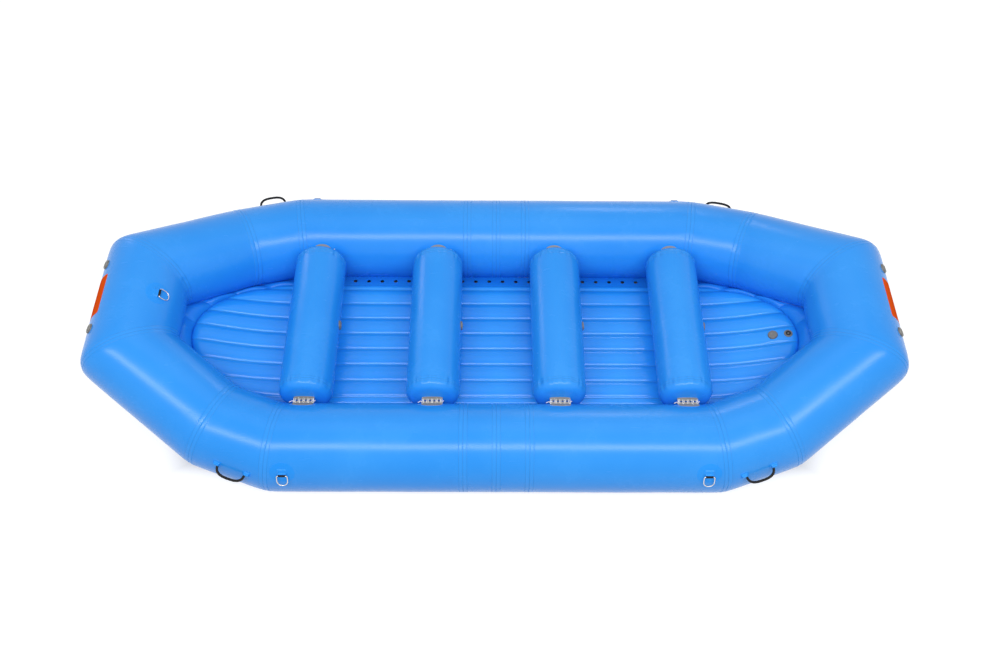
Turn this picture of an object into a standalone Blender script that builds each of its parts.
"""A self-bailing whitewater raft with four thwarts, modelled inflated and at rest on a level floor.

Lengths are in metres. X runs from the bow (-X) to the stern (+X), port is -Y, starboard is +Y and +Z is up.
The origin is under the middle of the hull, at the height of the two side tubes' undersides.
"""

import math

import bmesh
import bpy
from mathutils import Matrix, Vector

# Hull tube: one quarter of its centreline is half a side, two gores and half an end
TUBE_RADIUS = 0.2595
TUBE_SIDES = 36
TUBE_SKIN = 0.0015
SIDE_LENGTH = 2.593
END_WIDTH = 0.604
GORE_1_RUN = 0.372
GORE_1_INSET = 0.122
GORE_1_RISE = 0.041
GORE_2_RUN = 0.512
GORE_2_INSET = 0.3665
GORE_2_RISE = 0.208

# Clearances: what rests on a skin, what runs in a hole, how far a cutter reaches past a wall, what merges
SEAT_GAP = 0.0003
RUNNING_GAP = 0.0008
OVERRUN = 0.010
MERGE_DISTANCE = 0.00001
SHARP_ANGLE = math.radians(35)

# Bulkheads between the four air chambers
BULKHEAD_SKIN = 0.0015
BULKHEAD_LIP = 0.040
BULKHEAD_SIDES = 18

# Thwarts
THWART_COUNT = 4
THWART_PITCH = 0.757
THWART_RADIUS = 0.160
THWART_LIFT = 0.1165
THWART_SKIN = 0.0012
THWART_SIDES = 16
THWART_CROWN = 0.010
THWART_CORNER = 0.058

# Lacing tabs between the thwarts' ends and the hull
TAB_ANGLE = math.radians(140)
TAB_WIDTH = 0.126
TAB_BASE = 0.038
TAB_SKIN = 0.004

# Floor: an inflated mat with channels along it, on the line where the flange meets the hull
FLANGE_ANGLE = math.radians(215)
FLANGE_WIDTH = 0.107
FLANGE_SKIN = 0.0018
FLOOR_DROP = 0.12884
FLOOR_THICKNESS = 0.150
FLOOR_SKIN = 0.0015
FLOOR_EDGE = 0.006
FLOOR_CHANNEL_PITCH = 0.117
FLOOR_SEAMS_A_SIDE = 4
FLOOR_CHANNEL_CROWN = 0.015
FLOOR_STRIP_WIDTH = 0.042
FLOOR_ROUND_LEAD = 0.047
FLOOR_EVEN_LEAD = 0.097
FLOOR_END_GAP = 0.053
FLOOR_WEB_SKIN = 0.0012
FLOOR_WEB_STOP_SHARE = 0.67
FLOOR_ROW_SHARES = (0.0, 0.40, 0.67, 0.85, 0.965, 1.0)
FLOOR_EDGE_COLUMN_SHARES = (0.45, 0.78, 1.0)
FLOOR_ROUNDNESS = 14

# Bail holes through the flange
BAIL_HOLE_RADIUS = 0.013
BAIL_HOLE_PITCH = 0.090
BAIL_HOLE_SIDES = 6
BAIL_HOLE_INSET = 0.048
BAIL_HOLE_MARGIN = 0.035

# Valves: one pattern for the hull, the thwarts and the floor
VALVE_SIDES = 12
VALVE_FLANGE_RADIUS = 0.031
VALVE_FLANGE_THICKNESS = 0.004
VALVE_NECK_RADIUS = 0.0235
VALVE_NECK_LENGTH = 0.026
VALVE_WALL = 0.004
VALVE_PORT_RADIUS = 0.0065
CAP_RADIUS = 0.0285
CAP_THICKNESS = 0.006
CAP_CROWN = 0.0015
CAP_PLUG_DEPTH = 0.006
GRIP_LENGTH = 0.036
GRIP_WIDTH = 0.008
GRIP_HEIGHT = 0.003
POPPET_BUTTON_RADIUS = 0.0085
POPPET_BUTTON_HEIGHT = 0.004
POPPET_BUTTON_DROP = 0.0085
POPPET_STEM_RADIUS = 0.004
POPPET_DISC_RADIUS = 0.015
POPPET_DISC_THICKNESS = 0.003
POPPET_SIDES = 8
HULL_VALVE_Y = 0.235
HULL_VALVE_ANGLE = math.radians(40)
FLOOR_VALVE_FROM_TIP = 0.160
RELIEF_VALVE_FROM_TIP = 0.066
RELIEF_FLANGE_RADIUS = 0.027
RELIEF_FLANGE_THICKNESS = 0.003
RELIEF_NECK_RADIUS = 0.017
RELIEF_NECK_LENGTH = 0.018
RELIEF_CROWN_RADIUS = 0.013
RELIEF_CROWN_HEIGHT = 0.004

# D-rings and the webbing that holds them
RING_WIRE_RADIUS = 0.003
RING_WIDTH = 0.061
RING_LENGTH = 0.066
RING_CORNER = 0.009
RING_CORNER_STEPS = 3
RING_BOW_STEPS = 7
WEBBING_WIDTH = 0.042
WEBBING_SKIN = 0.0025
WEBBING_TAIL = 0.030
WEBBING_FLAT_SHARE = 0.4
WEBBING_LOOP_STEPS = 8
RING_BAR_HEIGHT = 0.012
SIDE_RING_FROM_KINK = 0.0815
SIDE_RING_X = SIDE_LENGTH / 2 - SIDE_RING_FROM_KINK
SIDE_RING_ANGLE = math.radians(25.8)
SIDE_RING_HELD_OFF = math.radians(15)
BOW_RING_ANGLE = math.radians(131)

# Carry handles
HANDLE_RADIUS = 0.007
HANDLE_SPAN = 0.165
HANDLE_REACH = 0.056
HANDLE_BARREL = 0.022
HANDLE_CORNER = 0.016
HANDLE_CORNER_STEPS = 3
HANDLE_FROM_KINK = 0.153
HANDLE_ANGLE = math.radians(18.5)
HANDLE_DROOPS = {
    "bow_port": math.radians(50),
    "bow_starboard": math.radians(-15),
    "stern_port": math.radians(50),
    "stern_starboard": math.radians(25),
}

UP = Vector((0, 0, 1))
FACET_TURN = 2 * math.pi / TUBE_SIDES
TUBE_APOTHEM = TUBE_RADIUS * math.cos(FACET_TURN / 2)
QUARTERS = {
    "bow_port": (-1, -1),
    "bow_starboard": (-1, 1),
    "stern_port": (1, -1),
    "stern_starboard": (1, 1),
}
SIDES = {"port": -1, "starboard": 1}


def clear_scene():
    for item in list(bpy.data.objects):
        bpy.data.objects.remove(item, do_unlink=True)


def collection(name):
    made = bpy.data.collections.new(name)
    bpy.context.scene.collection.children.link(made)
    return made


def finish(name, colour, roughness, metallic=0.0):
    made = bpy.data.materials.new(name)
    made.use_nodes = True
    shader = made.node_tree.nodes["Principled BSDF"]
    shader.inputs["Base Color"].default_value = (*colour, 1.0)
    shader.inputs["Roughness"].default_value = roughness
    shader.inputs["Metallic"].default_value = metallic
    return made


clear_scene()
RAFT = collection("whitewater_raft")
CUTTERS = collection("cutters")
COATED_BLUE = finish("coated_blue_fabric", (0.03, 0.25, 0.78), 0.30)
FLOOR_BLUE = finish("floor_blue_fabric", (0.035, 0.27, 0.80), 0.38)
FLANGE_BLUE = finish("flange_blue_fabric", (0.02, 0.15, 0.50), 0.50)
BAFFLE_GREY = finish("baffle_fabric", (0.35, 0.36, 0.38), 0.60)
TAB_GREY = finish("lacing_tab_grey", (0.42, 0.43, 0.45), 0.60)
VALVE_GREY = finish("valve_grey_plastic", (0.30, 0.31, 0.32), 0.45)
VALVE_BLACK = finish("valve_black_rubber", (0.02, 0.02, 0.02), 0.50)
STAINLESS = finish("stainless_steel", (0.62, 0.62, 0.60), 0.22, 1.0)
WEBBING_BLACK = finish("black_webbing", (0.015, 0.015, 0.016), 0.75)


def add_object(name, data, material=None, place=None):
    """A named object: a sub-part when it has a material, and otherwise a cutter, which isn't rendered."""
    made = bpy.data.objects.new(name, data)
    if material:
        data.materials.append(material)
        RAFT.objects.link(made)
    else:
        CUTTERS.objects.link(made)
        made.hide_render = True
        made.display_type = "WIRE"
    if place:
        made.matrix_world = place
    return made


def shaded(mesh):
    mesh.shade_smooth()
    mesh.set_sharp_from_angle(angle=SHARP_ANGLE)
    return mesh


def mesh_of(name, points, faces, flip=False):
    mesh = bpy.data.meshes.new(name)
    if flip:
        faces = [(f[0], *reversed(f[1:])) for f in faces]
    mesh.from_pydata([tuple(p) for p in points], [], faces)
    mesh.validate()
    return mesh


def add_wall(part, thickness, offset=-1):
    wall = part.modifiers.new("wall", "SOLIDIFY")
    wall.thickness = thickness
    wall.offset = offset
    wall.use_even_offset = True
    return wall


def cut(part, cutter, operation="DIFFERENCE"):
    step = part.modifiers.new(cutter.name, "BOOLEAN")
    step.operation = operation
    step.object = cutter


def round_cutter(name, radius, length, place):
    """A cylinder centred on its place, along the place's Z, its flats set as a valve's are."""
    form = bmesh.new()
    bmesh.ops.create_cone(
        form,
        cap_ends=True,
        segments=VALVE_SIDES,
        radius1=radius,
        radius2=radius,
        depth=length,
        matrix=Matrix.Rotation(math.pi / VALVE_SIDES, 4, "Z"),
    )
    mesh = bpy.data.meshes.new(name)
    form.to_mesh(mesh)
    form.free()
    return add_object(name, mesh, place=place)


def turned(name, profile, sides, material, place):
    """A profile of (radius, height) turned about the place's Z, its flats square to the place's X."""
    mesh = bpy.data.meshes.new(name)
    points = [(radius, 0, height) for radius, height in profile]
    edges = [(i, i + 1) for i in range(len(points) - 1)]
    if profile[0][0] > 0:
        edges.append((len(points) - 1, 0))
    mesh.from_pydata(points, edges, [])
    part = add_object(name, mesh, material, place @ Matrix.Rotation(math.pi / sides, 4, "Z"))
    screw = part.modifiers.new("turn", "SCREW")
    screw.steps = sides
    screw.render_steps = sides
    screw.use_merge_vertices = True
    screw.merge_threshold = MERGE_DISTANCE
    screw.use_smooth_shade = True
    return part


def bent_tube(name, points, radius, material, place, cyclic=False):
    """A round bar or cord along points in the place's own frame."""
    curve = bpy.data.curves.new(name, "CURVE")
    curve.dimensions = "3D"
    curve.bevel_depth = radius
    curve.bevel_resolution = 1
    curve.use_fill_caps = not cyclic
    spline = curve.splines.new("POLY")
    spline.points.add(len(points) - 1)
    for spot, point in zip(spline.points, points):
        spot.co = (*point, 1)
    spline.use_cyclic_u = cyclic
    return add_object(name, curve, material, place)


def flat_outline(name, outlines, width, material, place):
    """Closed outlines in the place's XY plane, the later ones holes, given a width along its Z."""
    curve = bpy.data.curves.new(name, "CURVE")
    curve.dimensions = "2D"
    curve.fill_mode = "BOTH"
    curve.extrude = width / 2
    for outline in outlines:
        spline = curve.splines.new("POLY")
        spline.points.add(len(outline) - 1)
        for spot, (x, y) in zip(spline.points, outline):
            spot.co = (x, y, 0, 1)
        spline.use_cyclic_u = True
    return add_object(name, curve, material, place)


def frame_at(origin, x_axis, y_axis, z_axis):
    return Matrix.Translation(origin) @ Matrix((x_axis, y_axis, z_axis)).transposed().to_4x4()


def arc(centre, radius, start, end, steps):
    """Points on an arc, both ends included."""
    points = []
    for i in range(steps + 1):
        angle = start + (end - start) * i / steps
        points.append((centre[0] + radius * math.cos(angle), centre[1] + radius * math.sin(angle)))
    return points


# The hull's centreline and skin

def centreline():
    """The corners of the stern starboard quarter's centreline, from mid-side to mid-end."""
    first = Vector((SIDE_LENGTH / 2, END_WIDTH / 2 + GORE_1_INSET + GORE_2_INSET, TUBE_APOTHEM))
    second = first + Vector((GORE_1_RUN, -GORE_1_INSET, GORE_1_RISE))
    corner = second + Vector((GORE_2_RUN, -GORE_2_INSET, GORE_2_RISE))
    return [Vector((0, first.y, first.z)), first, second, corner, Vector((corner.x, 0, corner.z))]


LINE = centreline()
RUNS = [(b - a).normalized() for a, b in zip(LINE, LINE[1:])]
SIDE_RUN, GORE_1, GORE_2, END_RUN = range(4)


def out_and_up(direction):
    out = UP.cross(direction).normalized()
    return out, direction.cross(out)


def ring(centre, direction, plane, radius, angles):
    """Points round a tube where it meets a plane through its centre."""
    out, up = out_and_up(direction)
    points = []
    for angle in angles:
        spoke = radius * (math.cos(angle) * out + math.sin(angle) * up)
        points.append(centre + spoke - direction * (spoke.dot(plane) / direction.dot(plane)))
    return points


def quarter_rings(radius, angles, joint=0.0):
    """Rings of one quarter of the hull, from mid-side to mid-end, square at both ends and mitred between."""
    side, gore_1, gore_2, end = RUNS
    return [
        ring(LINE[0] + side * joint, side, side, radius, angles),
        ring(LINE[1], side, side + gore_1, radius, angles),
        ring(LINE[2], gore_1, gore_1 + gore_2, radius, angles),
        ring(LINE[3], end, gore_2 + end, radius, angles),
        ring(LINE[4] - end * joint, end, end, radius, angles),
    ]


def facet_corners():
    """Angles of the hull's edges from straight outwards, with a flat facet underneath."""
    return [-math.pi / 2 + (i + 0.5) * FACET_TURN for i in range(TUBE_SIDES)]


def mirrored(point, quarter):
    return Vector((point[0] * quarter[0], point[1] * quarter[1], point[2]))


def hull_place(quarter, run, along):
    """A point on the centreline of a quarter's run, and the run's direction with the outside on its left."""
    centre = LINE[run] + RUNS[run] * along
    return mirrored(centre, quarter), mirrored(RUNS[run], quarter) * (quarter[0] * quarter[1])


def facet_seat(centre, direction, angle):
    """A frame on the hull's flat facet nearest an angle: X the way the angle grows, Y along the tube, Z out."""
    out, up = out_and_up(direction)
    facet = nearest_facet(angle)
    normal = math.cos(facet) * out + math.sin(facet) * up
    climb = math.cos(facet) * up - math.sin(facet) * out
    return frame_at(centre + TUBE_APOTHEM * normal, climb, direction, normal)


def nearest_facet(angle):
    return round(angle / FACET_TURN) * FACET_TURN


def spoke_reach(angle):
    """How far the hull's skin lies along a spoke at an angle."""
    return TUBE_APOTHEM / math.cos(angle - nearest_facet(angle))


def spoke_seat(centre, direction, angle):
    """A frame square to a spoke at any angle, where the spoke leaves the skin, with a facet seat's axes."""
    out, up = out_and_up(direction)
    normal = math.cos(angle) * out + math.sin(angle) * up
    climb = math.cos(angle) * up - math.sin(angle) * out
    return frame_at(centre + spoke_reach(angle) * normal, climb, direction, normal)


def add_chamber(name, quarter):
    rings = quarter_rings(TUBE_RADIUS, facet_corners(), SEAT_GAP / 2)
    points = [mirrored(p, quarter) for stage in rings for p in stage]
    faces = []
    for stage in range(len(rings) - 1):
        for i in range(TUBE_SIDES):
            a = stage * TUBE_SIDES + i
            b = stage * TUBE_SIDES + (i + 1) % TUBE_SIDES
            faces.append((a, b, b + TUBE_SIDES, a + TUBE_SIDES))
    mesh = mesh_of(name, points, faces, flip=quarter[0] * quarter[1] < 0)
    part = add_object(name, shaded(mesh), COATED_BLUE)
    add_wall(part, TUBE_SKIN)
    place = hull_valve_place(quarter)
    cut(part, round_cutter(name + "_valve_hole", VALVE_NECK_RADIUS + SEAT_GAP, 2 * OVERRUN, place))


def add_bulkhead(name, centre, along):
    """A round baffle with a lip on both sides, glued inside the hull across two chambers' joint."""
    inner = TUBE_APOTHEM - TUBE_SKIN - SEAT_GAP
    lip = inner - BULKHEAD_SKIN
    half = BULKHEAD_SKIN / 2
    profile = [
        (0, half),
        (lip, half),
        (lip, BULKHEAD_LIP),
        (inner, BULKHEAD_LIP),
        (inner, -BULKHEAD_LIP),
        (lip, -BULKHEAD_LIP),
        (lip, -half),
        (0, -half),
    ]
    place = frame_at(centre, UP, along.cross(UP), along)
    turned(name, profile, BULKHEAD_SIDES, BAFFLE_GREY, place)


# Valves

def hull_valve_place(quarter):
    centre, direction = hull_place(quarter, END_RUN, END_WIDTH / 2 - HULL_VALVE_Y)
    return facet_seat(centre, direction, HULL_VALVE_ANGLE)


def add_valve_body(name, place):
    """A flanged sleeve with a port in its bottom, its flange on the skin."""
    foot = SEAT_GAP
    top = foot + VALVE_FLANGE_THICKNESS
    bore = VALVE_NECK_RADIUS - VALVE_WALL
    floor = -VALVE_NECK_LENGTH + VALVE_WALL
    profile = [
        (bore, top),
        (VALVE_FLANGE_RADIUS, top),
        (VALVE_FLANGE_RADIUS, foot),
        (VALVE_NECK_RADIUS, foot),
        (VALVE_NECK_RADIUS, -VALVE_NECK_LENGTH),
        (VALVE_PORT_RADIUS, -VALVE_NECK_LENGTH),
        (VALVE_PORT_RADIUS, floor),
        (bore, floor),
    ]
    turned(name, profile, VALVE_SIDES, VALVE_GREY, place)


def add_valve_cap(name, place):
    """A domed cap with a plug in the valve's bore and a bar to turn it by."""
    foot = 2 * SEAT_GAP + VALVE_FLANGE_THICKNESS
    top = foot + CAP_THICKNESS
    plug = VALVE_NECK_RADIUS - VALVE_WALL - RUNNING_GAP
    profile = [
        (0, top),
        (CAP_RADIUS, top - CAP_CROWN),
        (CAP_RADIUS, foot),
        (plug, foot),
        (plug, foot - CAP_PLUG_DEPTH),
        (0, foot - CAP_PLUG_DEPTH),
    ]
    part = turned(name, profile, VALVE_SIDES, VALVE_GREY, place)
    form = bmesh.new()
    size = Matrix.Diagonal((GRIP_WIDTH, GRIP_LENGTH, GRIP_HEIGHT + CAP_CROWN, 1))
    bmesh.ops.create_cube(form, size=1, matrix=size)
    mesh = bpy.data.meshes.new(name + "_grip")
    form.to_mesh(mesh)
    form.free()
    height = top - CAP_CROWN + (GRIP_HEIGHT + CAP_CROWN) / 2
    grip = add_object(name + "_grip", mesh, place=place @ Matrix.Translation((0, 0, height)))
    cut(part, grip, "UNION")


def add_poppet(name, place):
    """A button, stem and sealing disc that hang in the valve, the disc just under its bottom."""
    disc = -VALVE_NECK_LENGTH - SEAT_GAP
    button = -POPPET_BUTTON_DROP
    profile = [
        (0, button),
        (POPPET_BUTTON_RADIUS, button),
        (POPPET_BUTTON_RADIUS, button - POPPET_BUTTON_HEIGHT),
        (POPPET_STEM_RADIUS, button - POPPET_BUTTON_HEIGHT),
        (POPPET_STEM_RADIUS, disc),
        (POPPET_DISC_RADIUS, disc),
        (POPPET_DISC_RADIUS, disc - POPPET_DISC_THICKNESS),
        (0, disc - POPPET_DISC_THICKNESS),
    ]
    turned(name, profile, POPPET_SIDES, VALVE_BLACK, place)


def add_relief_valve(name, place):
    """A pressure-relief valve: a flange on the skin, a raised crown and a neck below."""
    foot = SEAT_GAP
    top = foot + RELIEF_FLANGE_THICKNESS
    profile = [
        (0, top + RELIEF_CROWN_HEIGHT),
        (RELIEF_CROWN_RADIUS, top + RELIEF_CROWN_HEIGHT),
        (RELIEF_CROWN_RADIUS, top),
        (RELIEF_FLANGE_RADIUS, top),
        (RELIEF_FLANGE_RADIUS, foot),
        (RELIEF_NECK_RADIUS, foot),
        (RELIEF_NECK_RADIUS, -RELIEF_NECK_LENGTH),
        (0, -RELIEF_NECK_LENGTH),
    ]
    turned(name, profile, VALVE_SIDES, VALVE_GREY, place)


# Thwarts and their lacing tabs

def thwart_x(number):
    return (number - (THWART_COUNT - 1) / 2) * THWART_PITCH


def thwart_valve_place(number):
    height = TUBE_APOTHEM + THWART_LIFT
    side = THWART_RADIUS * math.cos(math.pi / THWART_SIDES)
    origin = Vector((thwart_x(number) + side, 0, height))
    return frame_at(origin, UP, Vector((0, -1, 0)), Vector((1, 0, 0)))


def add_thwart(name, number):
    """A cross tube with crowned ends that meet the top edge of the hull's innermost facet."""
    face = THWART_LIFT - TUBE_RADIUS * math.sin(FACET_TURN / 2)
    shoulder = LINE[0].y - TUBE_APOTHEM - SEAT_GAP
    corner = shoulder - THWART_CORNER
    bend = math.sin(math.pi / 4)
    half = [
        (0, shoulder + THWART_CROWN),
        (face, shoulder),
        (face + (THWART_RADIUS - face) * bend, corner + THWART_CORNER * bend),
        (THWART_RADIUS, corner),
    ]
    profile = half + [(radius, -height) for radius, height in reversed(half)]
    centre = Vector((thwart_x(number), 0, TUBE_APOTHEM + THWART_LIFT))
    place = frame_at(centre, UP, Vector((1, 0, 0)), Vector((0, 1, 0)))
    part = turned(name, profile, THWART_SIDES, COATED_BLUE, place)
    add_wall(part, THWART_SKIN)
    hole = round_cutter(
        name + "_valve_hole", VALVE_NECK_RADIUS + SEAT_GAP, 2 * OVERRUN, thwart_valve_place(number)
    )
    cut(part, hole)


def add_thwart_tab(name, number, side):
    """A grey tab glued to the hull's inner top, whose arm leaves its lower edge level to the thwart's end."""
    quarter = (1, side)
    centre = mirrored(LINE[0], quarter) + Vector((thwart_x(number), 0, 0))
    seat = facet_seat(centre, mirrored(RUNS[SIDE_RUN], quarter) * side, TAB_ANGLE)
    climb = seat.col[0].to_3d()
    normal = seat.col[2].to_3d()
    inward = Vector((0, -side, 0))
    arm = Vector((inward.dot(climb), inward.dot(normal)))
    over = Vector((-arm.y, arm.x)) * TAB_SKIN
    foot = Vector((TAB_BASE / 2, SEAT_GAP))
    crest = Vector((-TAB_BASE / 2, SEAT_GAP))
    start = seat @ Vector((foot.x, 0, foot.y))
    reach = abs(start.y) - (LINE[0].y - TUBE_APOTHEM + THWART_CROWN)
    inner = foot + over + arm * ((TAB_SKIN - over.y) / arm.y)
    outline = [
        tuple(foot),
        tuple(crest),
        tuple(crest + Vector((0, TAB_SKIN))),
        tuple(inner),
        tuple(foot + arm * reach + over),
        tuple(foot + arm * reach),
    ]
    along = seat.col[1].to_3d()
    place = frame_at(seat.translation, climb, normal, -along)
    flat_outline(name, [outline], TAB_WIDTH, TAB_GREY, place)


# Floor

FLANGE_RINGS = quarter_rings(TUBE_RADIUS, [FLANGE_ANGLE])
FLANGE_MID_SIDE = FLANGE_RINGS[0][0]
FLANGE_MID_END = FLANGE_RINGS[4][0]
FLOOR_HALF_WIDTH = FLANGE_MID_SIDE.y - FLANGE_WIDTH
FLOOR_TIP = FLANGE_MID_END.x - FLOOR_END_GAP
FLOOR_ROUND_START = SIDE_LENGTH / 2 - FLOOR_ROUND_LEAD
FLOOR_EVEN_HALF = SIDE_LENGTH / 2 - FLOOR_EVEN_LEAD
FLOOR_TIP_RISE = GORE_1_RISE + GORE_2_RISE * (FLOOR_TIP - LINE[2].x) / GORE_2_RUN


def floor_end(y):
    """How far along the floor reaches at a distance from its middle line."""
    share = max(0.0, 1 - (y / FLOOR_HALF_WIDTH) ** 2)
    return FLOOR_ROUND_START + (FLOOR_TIP - FLOOR_ROUND_START) * math.sqrt(share)


def floor_middle(x):
    """The height of the floor's mid-plane, which climbs with the hull towards both ends."""
    share = max(0.0, abs(x) - FLOOR_ROUND_START) / (FLOOR_TIP - FLOOR_ROUND_START)
    return TUBE_APOTHEM - FLOOR_DROP + FLOOR_TIP_RISE * share**2


def floor_half_thickness(x, y, seam):
    """Half the floor's thickness: full inside, rounded off to a thin edge, and drawn in at the seams."""
    along = max(0.0, abs(x) - FLOOR_ROUND_START) / (FLOOR_TIP - FLOOR_ROUND_START)
    across = y / FLOOR_HALF_WIDTH
    reach = min(1.0, math.hypot(along, across)) ** FLOOR_ROUNDNESS
    share = math.sqrt(max(0.0, 1 - reach))
    full = FLOOR_THICKNESS / 2 - (FLOOR_CHANNEL_CROWN if seam else 0.0)
    return max(FLOOR_EDGE / 2, full * share)


def floor_columns():
    """Distances from the middle line, from port to starboard, each with whether a seam runs there."""
    last = (FLOOR_SEAMS_A_SIDE - 0.5) * FLOOR_CHANNEL_PITCH
    half = [(FLOOR_STRIP_WIDTH / 2, False), (FLOOR_CHANNEL_PITCH / 2, True)]
    for i in range(1, FLOOR_SEAMS_A_SIDE):
        half.append((i * FLOOR_CHANNEL_PITCH, False))
        half.append(((i + 0.5) * FLOOR_CHANNEL_PITCH, True))
    for share in FLOOR_EDGE_COLUMN_SHARES:
        half.append((last + share * (FLOOR_HALF_WIDTH - last), False))
    return [(-y, seam) for y, seam in reversed(half)] + half


def floor_row(y):
    """Places along the floor at a distance from its middle line, from bow to stern."""
    end = floor_end(y)
    half = [FLOOR_EVEN_HALF + share * (end - FLOOR_EVEN_HALF) for share in FLOOR_ROW_SHARES]
    return [-x for x in reversed(half)] + half


def add_floor(name):
    columns = floor_columns()
    rows = len(floor_row(0.0))
    points = []
    for side in (1, -1):
        for y, seam in columns:
            for x in floor_row(y):
                half = floor_half_thickness(x, y, seam)
                points.append((x, y, floor_middle(x) + side * half))
    layer = len(columns) * rows
    faces = []
    for j in range(len(columns) - 1):
        for i in range(rows - 1):
            a = j * rows + i
            faces.append((a, a + 1, a + 1 + rows, a + rows))
            faces.append((layer + a + rows, layer + a + 1 + rows, layer + a + 1, layer + a))
    border = [i for i in range(rows)]
    border += [j * rows + rows - 1 for j in range(1, len(columns))]
    border += [layer - 1 - i for i in range(1, rows)]
    border += [(len(columns) - 1 - j) * rows for j in range(1, len(columns) - 1)]
    for a, b in zip(border, border[1:] + border[:1]):
        faces.append((layer + a, layer + b, b, a))
    mesh = mesh_of(name, points, faces)
    part = add_object(name, shaded(mesh), FLOOR_BLUE)
    add_wall(part, FLOOR_SKIN)
    for place, radius in (
        (floor_seat(FLOOR_VALVE_FROM_TIP), VALVE_NECK_RADIUS),
        (floor_seat(RELIEF_VALVE_FROM_TIP), RELIEF_NECK_RADIUS),
    ):
        cut(part, round_cutter(name + "_hole", radius + SEAT_GAP, 2 * OVERRUN, place))
    cut(part, add_floor_webs(name + "_webs", columns), "UNION")


def add_floor_webs(name, columns):
    """The I-beam webs that tie the floor's two faces along its seams and stop short of its ends."""
    points = []
    faces = []
    last = FLOOR_ROW_SHARES.index(FLOOR_WEB_STOP_SHARE)
    skip = len(FLOOR_ROW_SHARES) - 1 - last
    for y, seam in columns:
        if not seam:
            continue
        start = len(points)
        line = floor_row(y)[skip:-skip]
        for x in line:
            half = floor_half_thickness(x, y, seam) - FLOOR_SKIN / 2
            points.append((x, y, floor_middle(x) + half))
            points.append((x, y, floor_middle(x) - half))
        for i in range(len(line) - 1):
            a = start + 2 * i
            faces.append((a, a + 1, a + 3, a + 2))
    webs = add_object(name, mesh_of(name, points, faces))
    add_wall(webs, FLOOR_WEB_SKIN, offset=0)
    return webs


def floor_seat(from_tip):
    """A frame on the floor's middle strip, at a distance from its stern tip, level across the floor."""
    y = FLOOR_STRIP_WIDTH / 2
    x = FLOOR_TIP - from_tip
    line = floor_row(y)
    after = next(i for i, place in enumerate(line) if place > x)
    low, high = [
        Vector((place, 0, floor_middle(place) + floor_half_thickness(place, y, False)))
        for place in (line[after - 1], line[after])
    ]
    slope = (high - low).normalized()
    origin = low + slope * ((x - low.x) / slope.x)
    return frame_at(origin, slope, Vector((0, 1, 0)), slope.cross(Vector((0, 1, 0))))


def flange_stations():
    """Pairs of points round the stern, from port to starboard: on the floor's edge and on the hull's skin."""
    clear = FLANGE_SKIN / 2 + SEAT_GAP
    hull = [points[0] for points in quarter_rings(TUBE_RADIUS + clear, [FLANGE_ANGLE])]
    side_share = FLOOR_EVEN_HALF / LINE[1].x
    stations = []
    for y, _ in floor_columns():
        if y < 0:
            continue
        x = floor_end(y)
        turn = math.atan2((x - FLOOR_ROUND_START) / (FLOOR_TIP - FLOOR_ROUND_START), y / FLOOR_HALF_WIDTH)
        outwards = Vector((math.sin(turn) * FLOOR_HALF_WIDTH, math.cos(turn) * (FLOOR_TIP - FLOOR_ROUND_START)))
        outwards.normalize()
        edge = Vector((x, y, floor_middle(x))) + clear * outwards.to_3d()
        stations.append((edge, on_polyline(hull[1:], 1 - turn / (0.5 * math.pi))))
    even = Vector((FLOOR_EVEN_HALF, FLOOR_HALF_WIDTH + clear, floor_middle(FLOOR_EVEN_HALF)))
    stations.append((even, hull[0].lerp(hull[1], side_share)))
    return [[mirrored(p, (1, -1)) for p in pair] for pair in reversed(stations)] + stations


def on_polyline(points, share):
    """The point that lies a share of the way back from a polyline's end to its start."""
    lengths = [(b - a).length for a, b in zip(points, points[1:])]
    left = (1 - share) * sum(lengths)
    for start, end, length in zip(points, points[1:], lengths):
        if left <= length:
            return start.lerp(end, left / length)
        left -= length
    return points[-1]


def add_floor_flange(name):
    """The perforated sheet between the floor's edge and the hull's skin, all round the floor."""
    stern = flange_stations()
    bow = [[mirrored(p, (-1, 1)) for p in pair] for pair in reversed(stern)]
    loop = stern + bow
    points = [p for pair in loop for p in pair]
    faces = []
    for i in range(len(loop)):
        a = 2 * i
        b = 2 * ((i + 1) % len(loop))
        faces.append((a, a + 1, b + 1, b))
    part = add_object(name, shaded(mesh_of(name, points, faces)), FLANGE_BLUE)
    add_wall(part, FLANGE_SKIN, offset=0)
    cut(part, add_bail_holes(name + "_bail_holes"))


def add_bail_holes(name):
    """A row of upright cutters along each side of the flange."""
    room = 2 * (FLOOR_EVEN_HALF - BAIL_HOLE_MARGIN)
    count = int(room / BAIL_HOLE_PITCH) + 1
    first = -(count - 1) * BAIL_HOLE_PITCH / 2
    y = FLANGE_MID_SIDE.y - BAIL_HOLE_INSET
    slope = abs(floor_middle(0) - FLANGE_MID_SIDE.z)
    form = bmesh.new()
    for side in SIDES.values():
        for i in range(count):
            place = Matrix.Translation((first + i * BAIL_HOLE_PITCH, side * y, FLANGE_MID_SIDE.z))
            bmesh.ops.create_cone(
                form,
                cap_ends=True,
                segments=BAIL_HOLE_SIDES,
                radius1=BAIL_HOLE_RADIUS,
                radius2=BAIL_HOLE_RADIUS,
                depth=2 * (slope + OVERRUN),
                matrix=place,
            )
    mesh = bpy.data.meshes.new(name)
    form.to_mesh(mesh)
    form.free()
    return add_object(name, mesh)


# D-rings

def ring_lie(angle):
    """How far the ring tips down from square to its spoke when it lies on the round hull."""
    return math.acos((TUBE_RADIUS + RING_WIRE_RADIUS + SEAT_GAP) / (spoke_reach(angle) + RING_BAR_HEIGHT))


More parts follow.
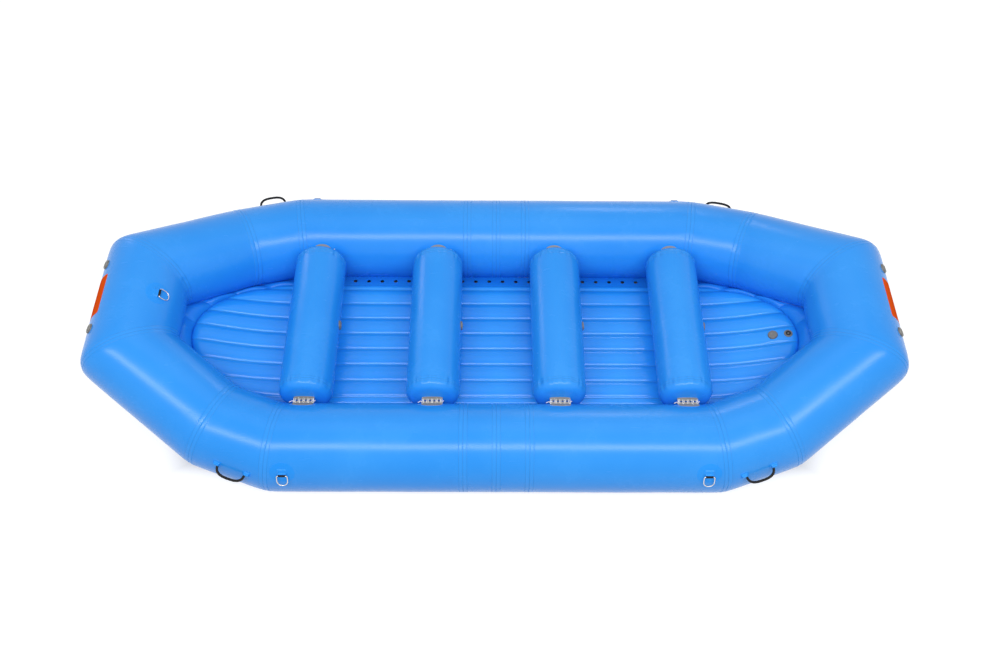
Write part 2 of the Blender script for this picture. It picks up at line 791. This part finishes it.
def add_d_ring(name, seat, lie, down):
    """A D-ring that leans to the skin from its bar, which turns in the webbing."""
    half = RING_WIDTH / 2
    bend = RING_CORNER
    shoulder = RING_LENGTH - half
    outline = arc((bend, -half + bend), bend, 1.5 * math.pi, math.pi, RING_CORNER_STEPS)
    outline += arc((bend, half - bend), bend, math.pi, 0.5 * math.pi, RING_CORNER_STEPS)
    outline += arc((shoulder, 0), half, 0.5 * math.pi, -0.5 * math.pi, RING_BOW_STEPS)
    turn = Matrix.Identity(4) if down > 0 else Matrix.Rotation(math.pi, 4, "Z")
    place = seat @ turn @ Matrix.Translation((0, 0, RING_BAR_HEIGHT)) @ Matrix.Rotation(lie, 4, "Y")
    points = [(x, y, 0) for x, y in outline]
    bent_tube(name, points, RING_WIRE_RADIUS, STAINLESS, place, cyclic=True)


def add_ring_webbing(name, centre, direction, angle, down):
    """Webbing folded round the ring's bar, with its tail flat on the skin's nearest facet."""
    turn_from_facet = angle - nearest_facet(angle)
    height = RING_BAR_HEIGHT * math.cos(turn_from_facet)
    offset = (spoke_reach(angle) + RING_BAR_HEIGHT) * math.sin(turn_from_facet)
    bore = RING_WIRE_RADIUS + RUNNING_GAP
    skin = bore + WEBBING_SKIN
    tail = -WEBBING_TAIL
    ramp = tail * WEBBING_FLAT_SHARE
    outline = arc((0, height), skin, -0.5 * math.pi, 0.5 * math.pi, WEBBING_LOOP_STEPS)
    outline += [(ramp, SEAT_GAP + 2 * WEBBING_SKIN), (tail, SEAT_GAP + 2 * WEBBING_SKIN)]
    outline += [(tail, SEAT_GAP), (ramp, SEAT_GAP)]
    hole = arc((0, height), bore, 0, 2 * math.pi, WEBBING_LOOP_STEPS)[:-1]
    turn = Matrix.Identity(4) if down > 0 else Matrix.Rotation(math.pi, 4, "Z")
    seat = facet_seat(centre, direction, angle) @ Matrix.Translation((offset, 0, 0))
    place = seat @ turn @ Matrix.Rotation(0.5 * math.pi, 4, "X")
    flat_outline(name, [outline, hole], WEBBING_WIDTH, WEBBING_BLACK, place)


# Carry handles

def handle_place(name):
    """A frame on a quarter's handle: X along its turning line, Y out towards the grip as it rests."""
    quarter = QUARTERS[name]
    centre, direction = hull_place(quarter, GORE_1, HANDLE_FROM_KINK)
    out, up = out_and_up(direction)
    lift = (TUBE_APOTHEM + SEAT_GAP + HANDLE_RADIUS) / math.cos(HANDLE_ANGLE - nearest_facet(HANDLE_ANGLE))
    origin = centre + lift * (math.cos(HANDLE_ANGLE) * out + math.sin(HANDLE_ANGLE) * up)
    lean = HANDLE_ANGLE - HANDLE_DROOPS[name]
    grip = math.cos(lean) * out + math.sin(lean) * up
    return frame_at(origin, direction, grip, direction.cross(grip))


def add_handle(name):
    """A rope handle: a barrel at each end lies on the turning line and the grip stands off it."""
    half = HANDLE_SPAN / 2
    bend = HANDLE_CORNER
    side = [(half + HANDLE_BARREL, 0)]
    side += arc((half + bend / 2, bend / 2), bend / 2, 1.5 * math.pi, math.pi, HANDLE_CORNER_STEPS)
    side += arc((half - bend, HANDLE_REACH - bend), bend, 0, 0.5 * math.pi, HANDLE_CORNER_STEPS)
    points = [(x, y, 0) for x, y in side] + [(-x, y, 0) for x, y in reversed(side)]
    bent_tube("handle_" + name, points, HANDLE_RADIUS, WEBBING_BLACK, handle_place(name))


# Assembly

def build():
    for name, quarter in QUARTERS.items():
        add_chamber("chamber_" + name, quarter)
        place = hull_valve_place(quarter)
        add_valve_body("valve_" + name, place)
        add_valve_cap("cap_" + name, place)
        add_poppet("poppet_" + name, place)
        add_handle(name)
        centre, direction = hull_place(quarter, SIDE_RUN, SIDE_RING_X)
        seat = spoke_seat(centre, direction, SIDE_RING_ANGLE)
        add_d_ring("ring_" + name, seat, ring_lie(SIDE_RING_ANGLE) - SIDE_RING_HELD_OFF, -1)
        add_ring_webbing("webbing_" + name, centre, direction, SIDE_RING_ANGLE, -1)
    centre, direction = hull_place((-1, 1), END_RUN, END_WIDTH / 2)
    seat = spoke_seat(centre, direction, BOW_RING_ANGLE)
    add_d_ring("ring_bow", seat, ring_lie(BOW_RING_ANGLE), 1)
    add_ring_webbing("webbing_bow", centre, direction, BOW_RING_ANGLE, 1)
    for name, side in SIDES.items():
        add_bulkhead("bulkhead_" + name, mirrored(LINE[0], (1, side)), RUNS[SIDE_RUN])
    for name, end in (("bow", -1), ("stern", 1)):
        add_bulkhead("bulkhead_" + name, mirrored(LINE[4], (end, 1)), RUNS[END_RUN])
    for number in range(THWART_COUNT):
        label = str(number + 1)
        add_thwart("thwart_" + label, number)
        place = thwart_valve_place(number)
        add_valve_body("thwart_valve_" + label, place)
        add_valve_cap("thwart_cap_" + label, place)
        for name, side in SIDES.items():
            add_thwart_tab(f"thwart_tab_{name}_{label}", number, side)
    add_floor("floor")
    add_floor_flange("floor_flange")
    place = floor_seat(FLOOR_VALVE_FROM_TIP)
    add_valve_body("floor_valve", place)
    add_valve_cap("floor_cap", place)
    add_poppet("floor_poppet", place)
    add_relief_valve("relief_valve", floor_seat(RELIEF_VALVE_FROM_TIP))


build()
